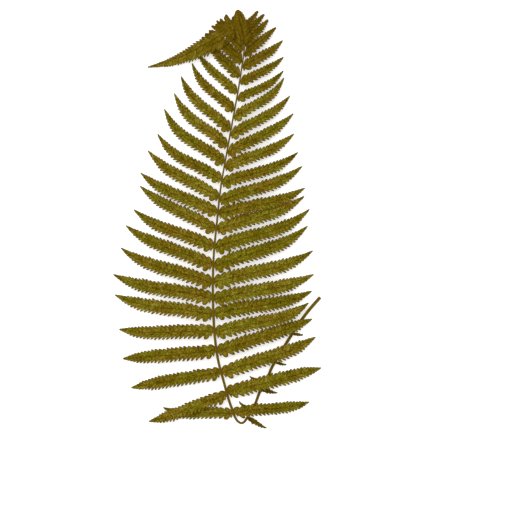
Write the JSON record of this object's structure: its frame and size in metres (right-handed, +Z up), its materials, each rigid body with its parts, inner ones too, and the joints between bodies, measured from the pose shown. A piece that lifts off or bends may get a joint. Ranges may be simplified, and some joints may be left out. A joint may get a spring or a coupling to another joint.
{
  "type": "bracken frond",
  "caption": "Cut, pressed fern frond lying flat: once-divided blade of lobed tapering leaflets, tip curled over, bare stalk folded back beneath the blade.",
  "frame": {"origin": "centre of the frond's outline on the surface it lies on", "axes": "+Y along the blade towards its curled top, +X to the side of the folded stalk, +Z up from the surface"},
  "size_m": [0.2015, 0.4068, 0.013],
  "materials": {
    "stalk": "orange-brown, dull, finely grooved along its length",
    "blade": "dry golden-olive leaf, matt, speckled, with brown edges"
  },
  "bodies": {
    "root": {"stalk": "stalk", "pinna_right_01": "blade", "pinna_right_02": "blade", "pinna_right_03": "blade", "pinna_right_04": "blade", "pinna_right_05": "blade", "pinna_right_06": "blade", "pinna_right_07": "blade", "pinna_right_08": "blade", "pinna_right_09": "blade", "pinna_right_10": "blade", "pinna_right_11": "blade", "pinna_right_12": "blade", "pinna_right_13": "blade", "pinna_right_14": "blade", "pinna_right_15": "blade", "pinna_right_16": "blade", "pinna_right_17": "blade", "pinna_right_18": "blade", "pinna_right_19": "blade", "pinna_right_20": "blade", "pinna_right_21": "blade", "pinna_right_22": "blade", "pinna_right_23": "blade", "pinna_right_24": "blade", "pinna_right_25": "blade", "pinna_left_01": "blade", "pinna_left_02": "blade", "pinna_left_03": "blade", "pinna_left_04": "blade", "pinna_left_05": "blade", "pinna_left_06": "blade", "pinna_left_07": "blade", "pinna_left_08": "blade", "pinna_left_09": "blade", "pinna_left_10": "blade", "pinna_left_11": "blade", "pinna_left_12": "blade", "pinna_left_13": "blade", "pinna_left_14": "blade", "pinna_left_15": "blade", "pinna_left_16": "blade", "pinna_left_17": "blade", "pinna_left_18": "blade", "pinna_left_19": "blade", "pinna_left_20": "blade", "pinna_left_21": "blade", "pinna_left_22": "blade", "pinna_left_23": "blade", "pinna_top": "blade", "frond_tip": "blade", "stipe_pinna_right_1": "blade", "stipe_pinna_right_2": "blade", "stipe_pinna_right_3": "blade", "stipe_pinna_right_4": "blade", "stipe_pinna_left_1": "blade", "stipe_pinna_left_2": "blade", "stipe_pinna_left_3": "blade", "stipe_pinna_left_4": "blade"}
  },
  "joints": []
}
